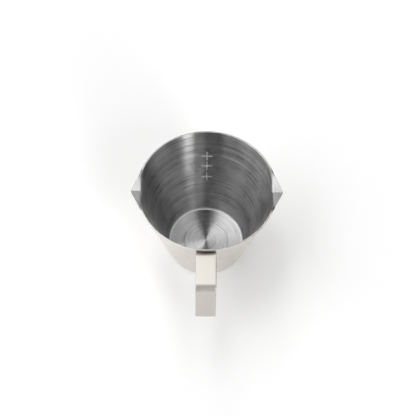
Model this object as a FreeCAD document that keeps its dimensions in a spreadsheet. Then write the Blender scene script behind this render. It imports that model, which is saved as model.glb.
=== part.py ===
import FreeCAD, Part
import os
import re
import Sketcher

# A small tapered pouring and melting pot of stainless sheet: a drawn body with
# two pressed lips on the X axis, and a bent strip handle spot-welded at -Y.
# Origin: centre of the underside, on the pot's own axis. +Z is up.

DRIVING = {
    # drawn body: an outer cone of revolution, and the sheet's thickness
    "RimRadius": 32.5,
    "PotHeight": 50.7,
    "ConeBaseRadius": 19.0,
    "Wall": 0.7,
    "BaseCorner": 1.6,
    # pressed lips: the wall is flat under them, and the lip is a shallow V
    "LipFlat": 31.0,
    "LipReach": 35.6,
    "LipDrop": 2.3,
    # strip handle: tab on the wall, shelf, outer bend and free drop
    "StripWidth": 9.4,
    "StripThickness": 1.2,
    "StripBend": 3.8,
    "StripReach": 51.2,
    "StripTopDrop": 2.4,
    "StripEndDrop": 30.5,
    "StripCorner": 0.9,
    "TabLength": 15.0,
    "TabRound": 2.4,
    "TabSpan": 20.0,
    "TabShelf": 7.0,
    "FitGap": 0.05,
    # spot welds that join the tab to the wall
    "WeldDiameter": 2.6,
    "WeldIntoWall": 0.4,
    "WeldIntoTab": 0.6,
    "WeldTopDrop": 7.5,
    "WeldPitch": 6.5,
    # level marks: crosses etched in the wall opposite the handle
    "MarkDepth": 0.12,
    "MarkLine": 0.45,
    "MarkSize": 5.6,
    "MarkLow": 22.5,
    "MarkMiddle": 29.5,
    "MarkHigh": 35.8,
    # plain ring stamped in the floor
    "RingRadius": 10.5,
    "RingWidth": 0.8,
    "RingDepth": 0.15,
}

# sizes that follow from the driving ones
DERIVED = {
    "Slope": "(RimRadius - ConeBaseRadius) / PotHeight",
    "SlopeLength": "sqrt(1 + Slope * Slope)",
    "WallAcross": "Wall * SlopeLength",
    "InnerBase": "ConeBaseRadius - WallAcross",
    "LipHalf": "sqrt(RimRadius * RimRadius - LipFlat * LipFlat)",
    "LipPlate": "Wall * sqrt(1 + (LipDrop / LipHalf) * (LipDrop / LipHalf))",
    "StripTop": "PotHeight - StripTopDrop",
    "StripUnder": "StripTop - StripThickness",
    "StripEnd": "PotHeight - StripEndDrop",
    "TabFace": "ConeBaseRadius + FitGap * SlopeLength",
    "TabBack": "TabFace + StripThickness * SlopeLength",
    "TabBottom": "StripTop - TabLength",
    "TabJoin": "RimRadius + TabShelf",
}

doc = FreeCAD.newDocument("MeltingPot")
sheet = doc.addObject("Spreadsheet::Sheet", "Dimensions")


def fill_sheet():
    cells = [(name, str(number)) for name, number in DRIVING.items()]
    cells += [(name, "=" + formula) for name, formula in DERIVED.items()]
    for row, (name, content) in enumerate(cells, start=1):
        sheet.set("A%d" % row, name)
        sheet.set("B%d" % row, content)
        sheet.setAlias("B%d" % row, name)
    doc.recompute()


def size(formula):
    """The present value of a formula of sheet names."""
    return float(sheet.evalExpression(formula))


def bind(target, prop, formula):
    """Bind a property to a formula of sheet names, which all start with a capital."""
    target.setExpression(prop, re.sub(r"\b([A-Z]\w*)", r"Dimensions.\1", formula))


def origin_plane(body, role):
    return [feature for feature in body.Origin.OriginFeatures if feature.Role == role][0]


def bind_point(sketch, line, name, corner):
    """Hold the start of a line at the two formulas of a corner."""
    for axis, kind, other, formula in zip("XY", ("DistanceX", "DistanceY"), (-2, -1), corner):
        if formula == "0":
            sketch.addConstraint(Sketcher.Constraint("PointOnObject", line, 1, other))
            continue
        constraint = sketch.addConstraint(Sketcher.Constraint(kind, -1, 1, line, 1, size(formula)))
        sketch.renameConstraint(constraint, name + axis)
        bind(sketch, "Constraints." + name + axis, formula)


def outline_sketch(body, name, role, outlines, offset=None):
    """Closed outlines of straight lines on an origin plane, every corner bound to the sheet."""
    sketch = body.newObject("Sketcher::SketchObject", name)
    sketch.AttachmentSupport = [(origin_plane(body, role), "")]
    sketch.MapMode = "FlatFace"
    if offset:
        bind(sketch, ".AttachmentOffset.Base.z", offset)
    for number, corners in enumerate(outlines):
        spots = [FreeCAD.Vector(size(across), size(up), 0) for across, up in corners]
        lines = [
            sketch.addGeometry(Part.LineSegment(start, end))
            for start, end in zip(spots, spots[1:] + spots[:1])
        ]
        for line, following in zip(lines, lines[1:] + lines[:1]):
            sketch.addConstraint(Sketcher.Constraint("Coincident", line, 2, following, 1))
        for index, (line, corner) in enumerate(zip(lines, corners)):
            bind_point(sketch, line, "Outline%dCorner%d" % (number, index), corner)
    return sketch


def add_feature(body, kind, name, profile, **settings):
    feature = body.newObject("PartDesign::" + kind, name)
    feature.Profile = profile
    for prop, setting in settings.items():
        setattr(feature, prop, setting)
    return feature


def turned(body, kind, name, profile, angle):
    """A Revolution or Groove about Z, even on both sides of its sketch."""
    feature = add_feature(body, kind, name, profile, Midplane=True)
    feature.ReferenceAxis = (profile, ["V_Axis"])
    bind(feature, "Angle", angle)
    doc.recompute()
    return feature


def cut_through(body, name, profile):
    """A Pocket through everything, on both sides of its sketch."""
    feature = add_feature(body, "Pocket", name, profile, Type="ThroughAll", SideType="Symmetric")
    doc.recompute()
    return feature


def padded(body, name, profile, length, side="One side"):
    feature = add_feature(body, "Pad", name, profile, SideType=side)
    bind(feature, "Length", length)
    doc.recompute()
    return feature


def edge_names(feature, wanted):
    """The names of the edges whose bounding box passes a test."""
    edges = enumerate(feature.Shape.Edges, start=1)
    return ["Edge%d" % number for number, edge in edges if wanted(edge.BoundBox)]


def rounded(body, name, wanted, radius):
    base = body.Tip
    feature = body.newObject("PartDesign::Fillet", name)
    feature.Base = (base, edge_names(base, wanted))
    bind(feature, "Radius", radius)
    doc.recompute()
    return feature


def near(first, second):
    return abs(first - second) < 0.01


def across(box, axis):
    """Whether an edge's box is a straight run along one axis only."""
    lengths = {"X": box.XLength, "Y": box.YLength, "Z": box.ZLength}
    return lengths[axis] > 0.1 and all(near(lengths[other], 0) for other in "XYZ" if other != axis)


def mirrored_outline(corners):
    """The same outline on the other side of the sketch's vertical axis."""
    return [("-(" + first + ")", second) for first, second in corners]


def wall_strip(height, reach):
    """A strip along the inner wall's face, centred at a height, as deep as the marks."""
    low = height + " - " + reach + " / 2"
    high = height + " + " + reach + " / 2"
    inside = "InnerBase - 0.3 + Slope * (%s)"
    within = "InnerBase + MarkDepth * SlopeLength + Slope * (%s)"
    return [(inside % low, low), (within % low, low), (within % high, high), (inside % high, high)]


def make_cone(body, bottom, top, base_radius, flat, corner):
    """A solid cone of the pot's slope, flat beyond X = flat on both sides, its base corner rounded."""
    rim_radius = base_radius + " + Slope * (" + top + " - " + bottom + ")"
    outline = outline_sketch(body, body.Name + "Outline", "XZ_Plane", [[
        ("0", bottom),
        (base_radius, bottom),
        (rim_radius, top),
        ("0", top),
    ]])
    turned(body, "Revolution", body.Name + "Cone", outline, "360")
    beside = [
        (flat, bottom + " - 1"),
        ("RimRadius + 2", bottom + " - 1"),
        ("RimRadius + 2", top + " + 1"),
        (flat, top + " + 1"),
    ]
    flats = outline_sketch(body, body.Name + "FlatOutlines", "XZ_Plane", [beside, mirrored_outline(beside)])
    cut_through(body, body.Name + "Flats", flats)
    base = size(bottom)
    rounded(body, body.Name + "Round", lambda box: near(box.ZMax, base), corner)


def hollow_out(body):
    """Leave the sheet's thickness around the cavity, open at the top."""
    cavity = doc.addObject("PartDesign::Body", "Cavity")
    make_cone(cavity, "Wall", "PotHeight + 1", "InnerBase + Slope * Wall", "LipFlat - Wall", "BaseCorner - Wall")
    hollow = body.newObject("PartDesign::Boolean", "Hollow")
    hollow.Type = "Cut"
    hollow.addObject(cavity)
    body.Tip = hollow
    doc.recompute()


def press_lips(body):
    """Open the flats in a shallow V and carry the V outwards to a point on each side."""
    valley = "PotHeight - LipDrop"
    notch = outline_sketch(body, "NotchOutline", "YZ_Plane", [[
        ("0", valley),
        ("LipHalf", "PotHeight"),
        ("LipHalf", "PotHeight + 1"),
        ("-LipHalf", "PotHeight + 1"),
        ("-LipHalf", "PotHeight"),
    ]])
    cut_through(body, "LipNotches", notch)
    plate = outline_sketch(body, "PlateOutline", "YZ_Plane", [[
        ("0", valley),
        ("LipHalf", "PotHeight"),
        ("LipHalf", "PotHeight - LipPlate"),
        ("0", valley + " - LipPlate"),
        ("-LipHalf", "PotHeight - LipPlate"),
        ("-LipHalf", "PotHeight"),
    ]], offset="LipFlat - Wall")
    pad = padded(body, "LipPlate", plate, "LipReach - LipFlat + Wall")
    mirror = body.newObject("PartDesign::Mirrored", "OtherLipPlate")
    mirror.Originals = [pad]
    mirror.MirrorPlane = (origin_plane(body, "YZ_Plane"), [""])
    body.Tip = mirror
    doc.recompute()
    beyond = [
        ("LipFlat", "LipHalf"),
        ("LipReach", "0"),
        ("LipFlat", "-LipHalf"),
        ("LipReach + 1", "-LipHalf"),
        ("LipReach + 1", "LipHalf"),
    ]
    point = outline_sketch(body, "PointOutlines", "XY_Plane", [beyond, mirrored_outline(beyond)])
    cut_through(body, "LipPoints", point)


def mark_inside(body):
    """Etch three crosses in the wall opposite the handle and a plain ring in the floor."""
    levels = ("MarkLow", "MarkMiddle", "MarkHigh")
    around = "(InnerBase + Slope * MarkMiddle) * 180 / pi"
    bars = [wall_strip(level, "MarkLine") for level in levels]
    bar_sketch = outline_sketch(body, "BarOutlines", "YZ_Plane", bars)
    turned(body, "Groove", "MarkBars", bar_sketch, "MarkSize / " + around)
    stems = [wall_strip(level, "MarkSize / SlopeLength") for level in levels]
    stem_sketch = outline_sketch(body, "StemOutlines", "YZ_Plane", stems)
    turned(body, "Groove", "MarkStems", stem_sketch, "MarkLine / " + around)
    ring_sketch = outline_sketch(body, "RingOutline", "XZ_Plane", [[
        ("RingRadius", "Wall - RingDepth"),
        ("RingRadius + RingWidth", "Wall - RingDepth"),
        ("RingRadius + RingWidth", "Wall + 1"),
        ("RingRadius", "Wall + 1"),
    ]])
    turned(body, "Groove", "FloorRing", ring_sketch, "360")


def make_pot_shell():
    body = doc.addObject("PartDesign::Body", "PotShell")
    make_cone(body, "0", "PotHeight", "ConeBaseRadius", "LipFlat", "BaseCorner")
    hollow_out(body)
    press_lips(body)
    mark_inside(body)
    return body


def make_strip():
    """The handle: a tab bent to the wall's cone, a level shelf, an outer bend and a drop."""
    body = doc.addObject("PartDesign::Body", "Strip")
    tab = outline_sketch(body, "TabOutline", "YZ_Plane", [[
        ("-(TabFace + Slope * TabBottom)", "TabBottom"),
        ("-(TabFace + Slope * StripTop)", "StripTop"),
        ("-TabJoin", "StripTop"),
        ("-TabJoin", "StripUnder"),
        ("-(TabBack + Slope * StripUnder)", "StripUnder"),
        ("-(TabBack + Slope * TabBottom)", "TabBottom"),
    ]])
    turned(body, "Revolution", "Tab", tab, "TabSpan")
    face = size("TabFace + Slope * StripTop")
    top = size("StripTop")
    under = size("StripUnder")
    rounded(body, "TabBend", lambda box: near(box.ZMin, top) and near(box.YMin, -face), "TabRound")
    back = size("TabBack + Slope * StripUnder")
    rounded(body, "TabInnerBend",
            lambda box: near(box.ZMax, under) and near(box.YMin, -back), "TabRound - StripThickness")
    beside = [
        ("StripWidth / 2", "-TabJoin - 1"),
        ("StripWidth / 2 + 9", "-TabJoin - 1"),
        ("StripWidth / 2 + 9", "0"),
        ("StripWidth / 2", "0"),
    ]
    sides = outline_sketch(body, "SideOutlines", "XY_Plane", [beside, mirrored_outline(beside)])
    cut_through(body, "StripSides", sides)
    drop = outline_sketch(body, "DropOutline", "YZ_Plane", [[
        ("-(TabJoin - 2)", "StripTop"),
        ("-StripReach", "StripTop"),
        ("-StripReach", "StripEnd"),
        ("-(StripReach - StripThickness)", "StripEnd"),
        ("-(StripReach - StripThickness)", "StripUnder"),
        ("-(TabJoin - 2)", "StripUnder"),
    ]])
    padded(body, "Drop", drop, "StripWidth", side="Symmetric")
    reach = size("StripReach")
    inside = size("StripReach - StripThickness")
    rounded(body, "OuterBend",
            lambda box: near(box.ZMin, top) and near(box.YMin, -reach) and across(box, "X"), "StripBend")
    rounded(body, "OuterInnerBend",
            lambda box: near(box.ZMin, under) and near(box.YMin, -inside) and across(box, "X"),
            "StripBend - StripThickness")
    end = size("StripEnd")
    rounded(body, "EndCorners", lambda box: near(box.ZMax, end) and across(box, "Y"), "StripCorner")
    return body


def make_weld(name, drop):
    """One spot weld: a nugget square to the wall, through the joint between wall and tab."""
    weld = doc.addObject("Part::Cylinder", name)
    height = "(PotHeight - (" + drop + "))"
    bind(weld, "Radius", "WeldDiameter / 2")
    bind(weld, "Height", "WeldIntoWall + FitGap + WeldIntoTab")
    weld.Placement.Rotation = FreeCAD.Rotation(FreeCAD.Vector(1, 0, 0), 90)
    bind(weld, ".Placement.Rotation.Angle", "90 deg + atan(Slope)")
    bind(weld, ".Placement.Base.y", "-(ConeBaseRadius + Slope * " + height + ") + WeldIntoWall / SlopeLength")
    bind(weld, ".Placement.Base.z", height + " + WeldIntoWall * Slope / SlopeLength")
    return weld


def make_welds():
    welds = doc.addObject("Part::Compound", "Welds")
    welds.Links = [
        make_weld("UpperWeld", "WeldTopDrop"),
        make_weld("LowerWeld", "WeldTopDrop + WeldPitch"),
    ]
    return welds


def seated(name, base, welds):
    """A piece with the seats of the weld nuggets taken out of it."""
    piece = doc.addObject("Part::Cut", name)
    piece.Base = base
    piece.Tool = welds
    return piece


def check_document():
    for item in doc.Objects:
        if "Invalid" in item.State or "Error" in item.State:
            raise RuntimeError("failed feature: " + item.Name)


def export(pieces):
    os.makedirs("parts", exist_ok=True)
    for label, piece in pieces.items():
        piece.Label = label
        shape = piece.Shape
        if shape.isNull() or not shape.isValid():
            raise RuntimeError("bad shape: " + label)
        print("%-14s %9.2f mm3, %d solid(s)" % (label, shape.Volume, len(shape.Solids)))
    for label, piece in pieces.items():
        piece.Shape.exportStep("parts/" + label + ".step")


fill_sheet()
welds = make_welds()
pieces = {
    "pot_body": seated("SeatedShell", make_pot_shell(), welds),
    "handle_strip": seated("SeatedStrip", make_strip(), welds),
    "weld_nuggets": welds,
}
doc.recompute()
check_document()
export(pieces)
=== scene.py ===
import math
import bpy
import numpy as np
from mathutils import Matrix, Vector


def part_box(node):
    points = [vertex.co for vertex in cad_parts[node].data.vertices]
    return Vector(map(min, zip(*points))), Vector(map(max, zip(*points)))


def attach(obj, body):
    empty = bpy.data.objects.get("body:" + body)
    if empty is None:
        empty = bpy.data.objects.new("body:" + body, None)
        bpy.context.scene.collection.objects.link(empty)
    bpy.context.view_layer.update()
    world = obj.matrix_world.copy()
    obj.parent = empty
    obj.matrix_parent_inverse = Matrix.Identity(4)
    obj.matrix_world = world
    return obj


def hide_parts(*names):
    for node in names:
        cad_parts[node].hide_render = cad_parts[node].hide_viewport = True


# A small pouring and melting pot of stainless sheet: a drawn body with two
# pressed lips, level marks inside, and a bent strip handle spot-welded to it.

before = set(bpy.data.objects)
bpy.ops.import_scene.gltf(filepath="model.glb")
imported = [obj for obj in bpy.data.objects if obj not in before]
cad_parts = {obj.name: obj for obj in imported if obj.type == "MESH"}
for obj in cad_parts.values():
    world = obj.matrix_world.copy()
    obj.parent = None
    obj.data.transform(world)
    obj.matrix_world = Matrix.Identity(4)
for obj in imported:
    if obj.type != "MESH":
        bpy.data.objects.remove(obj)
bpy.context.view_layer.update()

MM = 0.001
pot_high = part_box("pot_body")[1]
strip_low, strip_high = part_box("handle_strip")

# the drawn body, from the frame's box and the sheet it is drawn from; INNER_BASE is where the
# inner face of the wall would meet the ground
RIM_RADIUS = pot_high.y
HEIGHT = pot_high.z
LIP_REACH = pot_high.x
BASE_SHARE = 0.5846
BASE_RADIUS = BASE_SHARE * RIM_RADIUS
SHEET = 0.7 * MM
SLOPE = (RIM_RADIUS - BASE_RADIUS) / HEIGHT
SLOPE_LENGTH = math.hypot(1, SLOPE)
INNER_BASE = BASE_RADIUS - SHEET * SLOPE_LENGTH
INNER_CORNER = 0.9 * MM
RIM_CROWN = 0.1 * MM
INNER_RIM = INNER_BASE + SLOPE * (HEIGHT - RIM_CROWN)

# how finely the pot is divided: around, with more rays towards the lips, and up each part of
# its profile, which begins a little way out from the floor's middle
AROUND = 512
LIP_BUNCHING = 0.25
FLOOR_START = 0.4 * MM
FLOOR_STEPS = 13
RING_STEPS = 14
FLOOR_EDGE_STEPS = 8
CORNER_STEPS = 9
WALL_STEPS = 39
LIP_STEPS = 43
CROWN_STEPS = 12

# the pressed lips: a flat in the wall, a rounded crease and a shallow valley; LIP_SPAN is
# half a lip's width along the rim, LIP_ZONE the height that its pressing reaches down to
LIP_FLAT = LIP_REACH - 5.3 * MM
LIP_DROP = 2.3 * MM
LIP_SPAN = 12.3 * MM
FLANK_RISE = 1.6 * MM
LIP_ZONE = 9 * MM
FLAT_SOFTNESS = 0.25 * MM
CREASE_ROUND = 1.1 * MM
VALLEY_ROUND = 0.3 * MM
CREASE_SHARE = 0.55
DROP_CURVE = 1.2
FLARE_CURVE = 1.5
LEAST_COSINE = 0.05

# the ring stamped in the floor and the level marks on the wall
RING_RADIUS = 10.9 * MM
RING_HALF_WIDTH = 0.45 * MM
RING_DEPTH = 0.15 * MM
MARK_HEIGHTS = (22.5 * MM, 29.5 * MM, 35.8 * MM)
MARK_SIZE = 5.6 * MM
MARK_LINE = 0.45 * MM
MARK_PROUD = 0.015 * MM

# the strip handle: a tab on the wall, a level shelf, a bend and a free drop
STRIP_WIDTH = strip_high.x - strip_low.x
STRIP_THICKNESS = 1.2 * MM
STRIP_BEND = 3.8 * MM
TAB_BEND = 2.4 * MM
TAB_DEPTH = 15 * MM
STRIP_EDGE = 0.35 * MM
STRIP_CORNER = 0.9 * MM
STRIP_END = 1.6 * MM
TAB_GAP = 0.05 * MM
TAB_STEPS = 15
TAB_BEND_STEPS = 12
SHELF_STEPS = 13
DROP_BEND_STEPS = 14
DROP_STEPS = 17

# the camera, turned about the rim's centre; its distances are in rim radii
CAMERA_PITCH = math.radians(59.86)
CAMERA_ROLL = math.radians(1.18)
CAMERA_YAW = math.radians(0.62)
CAMERA_AWAY = 15.77
CAMERA_BELOW = 0.273
CAMERA_ASIDE = 0.022
CAMERA_LENS = 95.2

# the studio: panels of light around and over the pot, each as (from, to) along X and along Y
# of the unit direction to it, and its strength; a glowing table under a dim sky
SKY_GLOW = 0.005
TABLE_GLOW = 0.12
PANEL_EDGE = 0.03
PANELS = {
    "left of the top": ((-0.25, -0.09), (0.0, 0.5), 6.0),
    "right of the top": ((0.09, 0.34), (0.0, 0.5), 2.3),
    "back left": ((-0.34, -0.08), (0.5, 1.0), 2.2),
    "back right": ((0.08, 0.22), (0.5, 1.0), 2.0),
    "left": ((-0.62, -0.34), (-0.5, 0.5), 2.5),
    "far left": ((-1.0, -0.6), (-1.0, 0.5), 1.1),
    "front left": ((-0.6, -0.35), (-1.0, -0.5), 1.0),
    "front right": ((0.33, 0.52), (-1.0, -0.5), 7.0),
    "right": ((0.35, 1.0), (-0.5, 0.0), 0.7),
}


def make_camera():
    """A long lens that looks steeply down from the handle's side."""
    ahead = Vector((0, math.cos(CAMERA_PITCH), -math.sin(CAMERA_PITCH)))
    above = Vector((0, math.sin(CAMERA_PITCH), math.cos(CAMERA_PITCH)))
    right = Vector((1, 0, 0))
    place = (ahead * -CAMERA_AWAY + above * -CAMERA_BELOW + right * CAMERA_ASIDE) * RIM_RADIUS
    rolled_right = right * math.cos(CAMERA_ROLL) + above * math.sin(CAMERA_ROLL)
    rolled_above = above * math.cos(CAMERA_ROLL) - right * math.sin(CAMERA_ROLL)
    axes = Matrix((rolled_right, rolled_above, -ahead)).transposed().to_4x4()
    turn = Matrix.Rotation(-CAMERA_YAW, 4, "Z")
    rim_centre = Matrix.Translation((0, 0, HEIGHT))
    camera_data = bpy.data.cameras.new("camera")
    camera_data.lens = CAMERA_LENS
    camera = bpy.data.objects.new("camera", camera_data)
    camera.matrix_world = rim_centre @ turn @ Matrix.Translation(place) @ axes
    bpy.context.collection.objects.link(camera)
    bpy.context.scene.camera = camera


# ---------------------------------------------------------------- materials

LINE_SHARE = 0.6
HANDLING_SHARE = 0.4
HANDLING_SCALE = 130.0
HANDLING_GLOSS = 0.02
LINE_RELIEF = 0.03 * MM


def new_material(name):
    """A material whose node tree is still empty."""
    material = bpy.data.materials.new(name)
    material.use_nodes = True
    material.node_tree.nodes.clear()
    return material


class Nodes:
    """Short calls for a material's node tree."""

    def __init__(self, tree):
        self.tree = tree

    def add(self, kind, inputs=None, **settings):
        """A node, with its settings made and its inputs linked or given a value."""
        node = self.tree.nodes.new("ShaderNode" + kind)
        for name, setting in settings.items():
            setattr(node, name, setting)
        for name, value in (inputs or {}).items():
            if isinstance(value, bpy.types.NodeSocket):
                self.tree.links.new(value, node.inputs[name])
            else:
                node.inputs[name].default_value = value
        return node

    def maths(self, operation, first, second=0.0):
        return self.add("Math", {0: first, 1: second}, operation=operation).outputs[0]

    def vector(self, operation, first, second=(0, 0, 0)):
        return self.add("VectorMath", {0: first, 1: second}, operation=operation).outputs[0]

    def object_place(self):
        return self.add("TexCoord").outputs["Object"]

    def noise(self, vector, scale, detail=4.0, roughness=0.55):
        inputs = {"Vector": vector, "Scale": scale, "Detail": detail, "Roughness": roughness}
        return self.add("TexNoise", inputs).outputs["Fac"]

    def spread(self, value, low, high):
        """Carry the range where noise mostly lies on to low to high, and stop there."""
        inputs = {"Value": value, "From Min": 0.3, "From Max": 0.7, "To Min": low, "To Max": high}
        return self.add("MapRange", inputs).outputs[0]

    def tint(self, factor, dark, light):
        """A colour between dark and light."""
        inputs = {0: factor, 6: dark + (1,), 7: light + (1,)}
        return self.add("Mix", inputs, data_type="RGBA").outputs[2]


def turned_grain(along, across):
    """Grain that changes slowly around the pot's axis and quickly across its turning lines."""
    def coordinates(nodes):
        place = nodes.object_place()
        flat = nodes.vector("MULTIPLY", place, (1, 1, 0))
        heading = nodes.vector("NORMALIZE", flat)
        around = nodes.vector("SCALE", heading)
        around.node.inputs["Scale"].default_value = along
        radius = nodes.add("VectorMath", {0: flat}, operation="LENGTH").outputs["Value"]
        height = nodes.add("SeparateXYZ", {0: place}).outputs["Z"]
        rise = nodes.maths("MULTIPLY", nodes.maths("ADD", radius, height), across)
        lift = nodes.add("CombineXYZ", {"Z": rise}).outputs[0]
        return nodes.vector("ADD", around, lift)
    return coordinates


def stretched_grain(scales):
    """Grain with its own scale along each axis."""
    def coordinates(nodes):
        return nodes.vector("MULTIPLY", nodes.object_place(), scales)
    return coordinates


def steel(name, grain, dark, light, roughness, brush, bump, anisotropy, axis="Z", metallic=1.0):
    """Brushed steel: fine lines in its colour, gloss and relief, over broad handling marks."""
    material = new_material(name)
    nodes = Nodes(material.node_tree)
    lines = nodes.noise(grain(nodes), 1.0, detail=3.0, roughness=0.55)
    handling = nodes.noise(nodes.object_place(), HANDLING_SCALE, detail=3.0)
    fine = nodes.maths("MULTIPLY", lines, LINE_SHARE)
    broad = nodes.maths("MULTIPLY", handling, HANDLING_SHARE)
    blend = nodes.maths("ADD", fine, broad)
    colour = nodes.tint(nodes.spread(blend, 0.0, 1.0), dark, light)
    line_gloss = nodes.spread(lines, -brush, brush)
    broad_gloss = nodes.spread(handling, roughness - HANDLING_GLOSS, roughness + HANDLING_GLOSS)
    relief = nodes.add("Bump", {"Height": lines, "Strength": bump, "Distance": LINE_RELIEF})
    tangent = nodes.add("Tangent", direction_type="RADIAL", axis=axis)
    shader = nodes.add("BsdfPrincipled", {
        "Base Color": colour,
        "Metallic": metallic,
        "Roughness": nodes.maths("ADD", line_gloss, broad_gloss),
        "Normal": relief.outputs[0],
        "Anisotropic": anisotropy,
        "Anisotropic Rotation": 0.25,
        "Tangent": tangent.outputs[0],
    })
    nodes.add("OutputMaterial", {"Surface": shader.outputs[0]})
    return material


def shaded_inside_steel():
    """Turned lines whose highlights run up the wall, in a colour painted darker than the outside
    steel as painted shade inside the pot.
    """
    return steel(
        "shaded_inside_steel", turned_grain(along=0.45, across=1300.0),
        dark=(0.32, 0.32, 0.32), light=(0.63, 0.63, 0.63),
        roughness=0.32, brush=0.06, bump=0.12, anisotropy=1.0)


def outside_steel():
    """A softer and warmer satin face."""
    return steel(
        "outside_steel", turned_grain(along=3.0, across=2500.0),
        dark=(0.64, 0.615, 0.57), light=(0.82, 0.785, 0.73),
        roughness=0.32, brush=0.08, bump=0.12, anisotropy=0.5)


def shaded_rim_steel():
    """The sheet's cut and polished edge, in a colour painted darker than the wall as painted
    shade on the rim's sides.
    """
    return steel(
        "shaded_rim_steel", turned_grain(along=12.0, across=4000.0),
        dark=(0.36, 0.355, 0.345), light=(0.50, 0.495, 0.48),
        roughness=0.30, brush=0.05, bump=0.10, anisotropy=0.2)


def corner_highlight_steel():
    """The bright line round the floor: a painted highlight, the drawn corner's colour made light
    where its fillet catches the light.
    """
    return steel(
        "corner_highlight_steel", turned_grain(along=6.0, across=2500.0),
        dark=(0.84, 0.84, 0.83), light=(0.95, 0.95, 0.94),
        roughness=0.38, brush=0.05, bump=0.05, anisotropy=0.0, metallic=0.5)


def strip_steel():
    """Satin strip with its lines along its length."""
    return steel(
        "strip_steel", stretched_grain((5200.0, 160.0, 160.0)),
        dark=(0.58, 0.555, 0.515), light=(0.63, 0.605, 0.56),
        roughness=0.44, brush=0.02, bump=0.04, anisotropy=0.0, axis="X")


def weld_steel():
    """Dull, pitted weld metal."""
    return steel(
        "weld_steel", stretched_grain((900.0, 900.0, 900.0)),
        dark=(0.34, 0.33, 0.32), light=(0.52, 0.50, 0.48),
        roughness=0.50, brush=0.10, bump=0.40, anisotropy=0.0)


def etched_steel():
    """Pale, frosted marks."""
    return steel(
        "etched_steel", stretched_grain((2600.0, 2600.0, 2600.0)),
        dark=(0.80, 0.80, 0.80), light=(0.95, 0.95, 0.95),
        roughness=0.62, brush=0.08, bump=0.30, anisotropy=0.0, metallic=0.2)


def floor_material():
    """A white table with a faint glow and hardly any mottling."""
    material = new_material("studio_floor")
    nodes = Nodes(material.node_tree)
    patches = nodes.spread(nodes.noise(nodes.object_place(), 6.0), 0.0, 1.0)
    colour = nodes.tint(patches, (0.885, 0.885, 0.885), (0.90, 0.90, 0.90))
    shader = nodes.add("BsdfPrincipled", {
        "Base Color": colour,
        "Roughness": 0.65,
        "Emission Color": (1, 1, 1, 1),
        "Emission Strength": TABLE_GLOW,
    })
    nodes.add("OutputMaterial", {"Surface": shader.outputs[0]})
    return material


# ------------------------------------------------------------------- meshes

def add_piece(name, points, faces, materials, face_materials=None):
    """A smooth-shaded mesh object in the scene."""
    mesh = bpy.data.meshes.new(name)
    mesh.from_pydata([tuple(point) for point in points], [], faces)
    mesh.update()
    piece = bpy.data.objects.new(name, mesh)
    bpy.context.collection.objects.link(piece)
    for material in materials:
        mesh.materials.append(material)
    if face_materials:
        mesh.polygons.foreach_set("material_index", face_materials)
    mesh.polygons.foreach_set("use_smooth", [True] * len(mesh.polygons))
    return piece


def soft_min(first, second, softness):
    """The smaller of two lengths, with the corner between them rounded off."""
    return (first + second - math.hypot(first - second, softness)) / 2


def evenly(points, count):
    """Points at equal steps along a line of points."""
    points = np.array(points)
    steps = np.linalg.norm(np.diff(points, axis=0), axis=1)
    reached = np.concatenate(([0], np.cumsum(steps)))
    wanted = np.linspace(0, reached[-1], count)
    across = np.interp(wanted, reached, points[:, 0])
    up = np.interp(wanted, reached, points[:, 1])
    return list(zip(across, up))


def lip_flat(angle):
    """How far out the lip's flat lies along a ray at this angle, held finite near the Y axis."""
    return LIP_FLAT / max(abs(math.cos(angle)), LEAST_COSINE)


def inner_wall(height, flat):
    """The inner face's radius: the cone, cut off by the lip's flat."""
    return soft_min(INNER_BASE + SLOPE * height, flat, FLAT_SOFTNESS)


def floor_profile(ring_depth):
    """Radius and height from near the floor's centre to the end of its corner."""
    corner_height = SHEET + INNER_CORNER
    corner_radius = INNER_BASE + SLOPE * corner_height - INNER_CORNER * SLOPE_LENGTH
    ring_start = RING_RADIUS - 1.5 * RING_HALF_WIDTH
    ring_end = RING_RADIUS + 1.5 * RING_HALF_WIDTH
    radii = np.concatenate((
        np.linspace(FLOOR_START, ring_start, FLOOR_STEPS + 1)[:-1],
        np.linspace(ring_start, ring_end, RING_STEPS + 1)[:-1],
        np.linspace(ring_end, corner_radius, FLOOR_EDGE_STEPS + 1),
    ))
    dips = ring_depth * np.exp(-((radii - RING_RADIUS) / (0.6 * RING_HALF_WIDTH)) ** 4)
    profile = [(radius, SHEET - dip) for radius, dip in zip(radii, dips)]
    for turn in np.linspace(-math.pi / 2, -math.atan(SLOPE), CORNER_STEPS + 1)[1:]:
        across = corner_radius + INNER_CORNER * math.cos(turn)
        profile.append((across, corner_height + INNER_CORNER * math.sin(turn)))
    return profile


def rim_profile(angle):
    """Radius and height up the last of the wall, round the crease and out along the lip.

    The edge's place comes from its share of the way from the lip's tip, 0, to the plain rim, 1.
    """
    flat = lip_flat(angle)
    share = min(math.hypot(INNER_RIM * math.sin(angle), VALLEY_ROUND) / LIP_SPAN, 1)
    edge_height = HEIGHT - RIM_CROWN - LIP_DROP * (1 - share) ** DROP_CURVE
    edge_radius = INNER_RIM + (LIP_REACH - INNER_RIM) * (1 - share) ** FLARE_CURVE
    crease_height = edge_height - FLANK_RISE * share ** FLARE_CURVE
    crease = (inner_wall(crease_height, flat), crease_height)
    edge = (edge_radius, edge_height)
    turn = min(CREASE_ROUND, CREASE_SHARE * (edge_radius - crease[0]))
    heights = np.linspace(HEIGHT - LIP_ZONE, crease_height - turn, 24)
    line = [(inner_wall(height, flat), height) for height in heights]
    run = math.dist(crease, edge) + 1e-9
    before = line[-1]
    after = tuple(start + (end - start) * turn / run for start, end in zip(crease, edge))
    for step in np.linspace(0, 1, 12)[1:]:
        weights = ((1 - step) ** 2, 2 * step * (1 - step), step ** 2)
        pairs = list(zip(weights, (before, crease, after)))
        radius = sum(weight * corner[0] for weight, corner in pairs)
        line.append((radius, sum(weight * corner[1] for weight, corner in pairs)))
    line.append(edge)
    return evenly(line, LIP_STEPS + 1)


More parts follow.
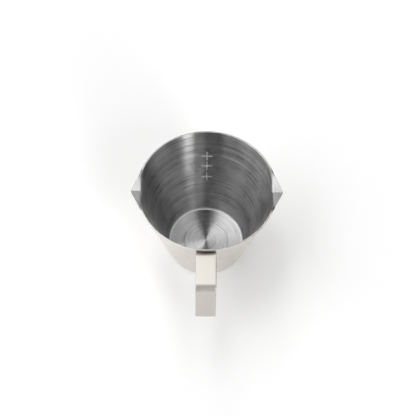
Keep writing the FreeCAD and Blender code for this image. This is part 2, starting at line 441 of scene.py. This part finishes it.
def inner_sheet(angles, ring_depth):
    """The sheet's inner face: rings from the floor's middle to the edge of rim and lips."""
    floor = floor_profile(ring_depth)
    wall_heights = np.linspace(floor[-1][1], HEIGHT - LIP_ZONE, WALL_STEPS + 1)[1:-1]
    columns = []
    for angle in angles:
        flat = lip_flat(angle)
        wall = [(inner_wall(height, flat), height) for height in wall_heights]
        columns.append(floor + wall + rim_profile(angle))
    radii, heights = np.array(columns).transpose(2, 1, 0)
    return np.stack((radii * np.cos(angles), radii * np.sin(angles), heights), axis=2)


def outward_normals(rings):
    """Unit directions from the inner sheet towards the outer one."""
    around = np.roll(rings, -1, axis=1) - np.roll(rings, 1, axis=1)
    upward = np.gradient(rings, axis=0)
    normals = np.cross(around, upward)
    return normals / np.linalg.norm(normals, axis=2, keepdims=True)


def rim_cap(inner_edge, outer_edge, outward):
    """Rings over the sheet's cut edge, flat across with rounded arrises."""
    rings = []
    for turn in np.linspace(0, math.pi, CROWN_STEPS + 1)[1:-1]:
        lift = RIM_CROWN * math.sin(turn) ** 0.5
        side = (1 - math.copysign(abs(math.cos(turn)) ** 0.6, math.cos(turn))) / 2
        rings.append(inner_edge + (outer_edge - inner_edge) * side + outward * lift)
    return np.array(rings)


def pot_surface():
    """Rings of points over the whole pot, and how many lie on its inside and on its rim."""
    turns = np.linspace(0, 2 * math.pi, AROUND, endpoint=False)
    angles = turns - LIP_BUNCHING * np.sin(2 * turns)
    inner = inner_sheet(angles, RING_DEPTH)
    plain = inner_sheet(angles, 0.0)
    outer = plain + outward_normals(plain) * SHEET
    outward = inner[-1] - inner[-2]
    outward /= np.linalg.norm(outward, axis=1, keepdims=True)
    outer[-1] += outward * SHEET * SLOPE * outward[:, 2:] ** 2
    cap = rim_cap(inner[-1], outer[-1], outward)
    return np.concatenate((inner, cap, outer[::-1])), len(inner), len(cap)


def make_pot_body():
    """The drawn pot, one closed sheet: inside, then rim, then outside."""
    materials = [shaded_inside_steel(), outside_steel(), shaded_rim_steel(), corner_highlight_steel()]
    inside, outside, rim, corner = range(len(materials))
    rings, inner_count, cap_count = pot_surface()
    points = [(0, 0, SHEET)] + list(rings.reshape(-1, 3)) + [(0, 0, 0)]
    underside_centre = len(points) - 1
    last_ring = 1 + (len(rings) - 1) * AROUND
    faces, parts = [], []
    for index in range(AROUND):
        following = (index + 1) % AROUND
        faces.append((0, 1 + index, 1 + following))
        parts.append(inside)
        faces.append((underside_centre, last_ring + following, last_ring + index))
        parts.append(outside)
    corner_start = len(floor_profile(0.0)) - CORNER_STEPS - 1
    for ring in range(len(rings) - 1):
        if corner_start <= ring < corner_start + CORNER_STEPS:
            part = corner
        elif ring < inner_count - 1:
            part = inside
        elif ring < inner_count + cap_count:
            part = rim
        else:
            part = outside
        start = 1 + ring * AROUND
        above = start + AROUND
        for index in range(AROUND):
            following = (index + 1) % AROUND
            faces.append((start + index, above + index, above + following, start + following))
            parts.append(part)
    piece = add_piece("drawn_pot", points, faces, materials, parts)
    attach(piece, "root")
    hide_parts("pot_body")


def bend(start, radius, headings):
    """Places along a downward bend of the strip's middle line, which starts at start."""
    centre_out = start[0] + radius * math.sin(headings[0])
    centre_up = start[1] - radius * math.cos(headings[0])
    places = []
    for heading in headings:
        out = centre_out - radius * math.sin(heading)
        places.append((out, centre_up + radius * math.cos(heading)))
    return places


def strip_route():
    """Stations along the strip's middle line, each with its place outwards and up, its
    heading, and how closely its section keeps to the wall's curve."""
    half = STRIP_THICKNESS / 2
    tab_radius = TAB_BEND - half
    drop_radius = STRIP_BEND - half
    top = strip_high.z - half
    tab_heading = math.pi / 2 - math.atan(SLOPE)
    line_foot = BASE_RADIUS + (TAB_GAP + half) * SLOPE_LENGTH
    tab_low = strip_high.z - TAB_DEPTH
    tab_high = top - tab_radius + tab_radius * math.cos(tab_heading)
    near_end = [step * MM for step in (0, 0.02, 0.07, 0.15, 0.25, 0.35, 0.5, 0.7, 0.9)]

    stations = []
    tab_heights = [tab_low + step for step in near_end]
    tab_heights += list(np.linspace(tab_low + STRIP_END, tab_high, TAB_STEPS + 1))
    for height in tab_heights:
        stations.append(((line_foot + SLOPE * height, height), tab_heading, 1.0))

    shares = np.linspace(0, 1, TAB_BEND_STEPS + 1)
    headings = tab_heading * (1 - shares)
    places = bend(stations[-1][0], tab_radius, headings)
    for place, heading, share in list(zip(places, headings, shares))[1:]:
        stations.append((place, heading, (1 + math.cos(math.pi * share)) / 2))

    shelf_start = stations[-1][0][0]
    shelf_end = -strip_low.y - STRIP_BEND
    for far in np.linspace(shelf_start, shelf_end, SHELF_STEPS + 1)[1:]:
        stations.append(((far, top), 0.0, 0.0))

    headings = np.linspace(0, -math.pi / 2, DROP_BEND_STEPS + 1)
    places = bend(stations[-1][0], drop_radius, headings)
    for place, heading in list(zip(places, headings))[1:]:
        stations.append((place, heading, 0.0))

    drop = -strip_low.y - half
    drop_bottom = strip_low.z + STRIP_END
    drop_heights = list(np.linspace(top - drop_radius, drop_bottom, DROP_STEPS + 1)[1:])
    drop_heights += [strip_low.z + step for step in near_end[::-1]]
    for height in drop_heights:
        stations.append(((drop, height), -math.pi / 2, 0.0))
    return stations


def strip_section(from_end):
    """The strip's rounded oblong section, drawn in near its ends. Across, then through it."""
    left = max(STRIP_EDGE - from_end, 0)
    inset = STRIP_EDGE - math.sqrt(STRIP_EDGE ** 2 - left ** 2)
    left = max(STRIP_CORNER - from_end, 0)
    narrowing = STRIP_CORNER - math.sqrt(STRIP_CORNER ** 2 - left ** 2)
    half_width = STRIP_WIDTH / 2 - max(inset, narrowing)
    half_depth = STRIP_THICKNESS / 2 - inset
    edge = STRIP_EDGE - 0.9 * inset
    outline = []
    for side, depth, first in ((1, 1, 0), (-1, 1, 90), (-1, -1, 180), (1, -1, 270)):
        for turn in np.radians(np.linspace(first, first + 90, 7)):
            across = side * (half_width - edge) + edge * math.cos(turn)
            outline.append((across, depth * (half_depth - edge) + edge * math.sin(turn)))
        if first in (0, 180):
            for share in np.linspace(0, 1, 14)[1:-1]:
                outline.append((side * (half_width - edge) * (1 - 2 * share), depth * half_depth))
    return outline


def make_handle_strip():
    """The bent strip: one section carried along its route."""
    stations = strip_route()
    places = [station[0] for station in stations]
    steps = [0] + [math.dist(first, second) for first, second in zip(places, places[1:])]
    reached = np.cumsum(steps)
    points, faces = [], []
    for (place, heading, keeping), far in zip(stations, reached):
        wall_radius = place[0] - STRIP_THICKNESS / 2
        outline = strip_section(min(far, reached[-1] - far))
        for across, through in outline:
            out = place[0] + through * math.sin(heading)
            up = place[1] - through * math.cos(heading)
            sagitta = wall_radius - math.sqrt(wall_radius ** 2 - across ** 2)
            points.append((across, -out + keeping * sagitta, up))
    size = len(outline)
    for ring in range(len(stations) - 1):
        start = ring * size
        above = start + size
        for index in range(size):
            following = (index + 1) % size
            faces.append((start + index, start + following, above + following, above + index))
    last = (len(stations) - 1) * size
    faces.append(tuple(reversed(range(size))))
    faces.append(tuple(range(last, last + size)))
    piece = add_piece("bent_strip", points, faces, [strip_steel()])
    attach(piece, "root")
    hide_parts("handle_strip")


def make_level_mark(number, height):
    """One etched cross on the wall opposite the handle, a hair proud of it."""
    half = MARK_LINE / 2
    reach = MARK_SIZE / 2
    fars = [half] + list(np.linspace(half, reach - half, 7)[1:])
    fars += [reach - half * (1 - math.sin(turn)) for turn in np.radians((30, 60, 85))]
    flat_points, faces = [], []
    for quarter in range(4):
        across_arm = math.cos(quarter * math.pi / 2)
        up_arm = math.sin(quarter * math.pi / 2)
        start = len(flat_points)
        for far in fars:
            left = max(far - reach + half, 0)
            wide = math.sqrt(half ** 2 - left ** 2)
            for side in (-wide, wide):
                across = far * across_arm - side * up_arm
                flat_points.append((across, far * up_arm + side * across_arm))
        for step in range(len(fars) - 1):
            first = start + 2 * step
            faces.append((first, first + 2, first + 3, first + 1))
    arm = 2 * len(fars)
    faces.append((0, 1, 2 * arm, 2 * arm + 1))
    points = []
    for across, up in flat_points:
        level = height + up / SLOPE_LENGTH
        radius = INNER_BASE + SLOPE * level - MARK_PROUD
        angle = across / radius
        points.append((radius * math.sin(angle), radius * math.cos(angle), level))
    piece = add_piece("level_mark_%d" % number, points, faces, [etched_steel()])
    thicken = piece.modifiers.new("thickness", "SOLIDIFY")
    thicken.thickness = 2 * MARK_PROUD
    thicken.offset = 0
    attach(piece, "root")


def finish_welds():
    """The weld nuggets keep their CAD shape, hidden between tab and wall."""
    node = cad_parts["weld_nuggets"]
    node.data.materials.clear()
    node.data.materials.append(weld_steel())


# ------------------------------------------------------------------- studio

def make_floor():
    """The table, wide enough to fill the picture."""
    reach = 4.0
    points = [(-reach, -reach, 0), (reach, -reach, 0), (reach, reach, 0), (-reach, reach, 0)]
    floor = add_piece("studio_floor", points, [(0, 1, 2, 3)], [floor_material()])


def panel_light(nodes, across, along, strength):
    """Light from one panel, a soft-edged oblong of directions above the horizon."""
    direction = nodes.add("TexCoord").outputs["Generated"]
    place = nodes.add("SeparateXYZ", {0: direction})
    light = strength
    for axis, (low, high) in (("X", across), ("Y", along)):
        for edge, sense in ((low, 1), (high, -1)):
            inputs = {
                "Value": place.outputs[axis],
                "From Min": edge - sense * PANEL_EDGE,
                "From Max": edge + sense * PANEL_EDGE,
            }
            inside = nodes.add("MapRange", inputs, interpolation_type="SMOOTHSTEP").outputs[0]
            light = nodes.maths("MULTIPLY", inside, light)
    above = nodes.maths("GREATER_THAN", place.outputs["Z"], 0.0)
    return nodes.maths("MULTIPLY", above, light)


def make_sky():
    """A dim studio with light panels; none crosses X = 0, so the steel has a dark stripe."""
    world = bpy.data.worlds.new("studio")
    world.use_nodes = True
    world.node_tree.nodes.clear()
    nodes = Nodes(world.node_tree)
    strength = SKY_GLOW
    for across, along, power in PANELS.values():
        strength = nodes.maths("ADD", panel_light(nodes, across, along, power), strength)
    sky = nodes.add("Background", {"Color": (1, 1, 1, 1), "Strength": strength})
    nodes.add("OutputWorld", {"Surface": sky.outputs[0]})
    bpy.context.scene.world = world


def make_studio():
    bpy.context.scene.view_settings.view_transform = "Standard"
    make_floor()
    make_sky()


make_camera()
make_pot_body()
make_handle_strip()
for number, height in enumerate(MARK_HEIGHTS, start=1):
    make_level_mark(number, height)
finish_welds()
make_studio()
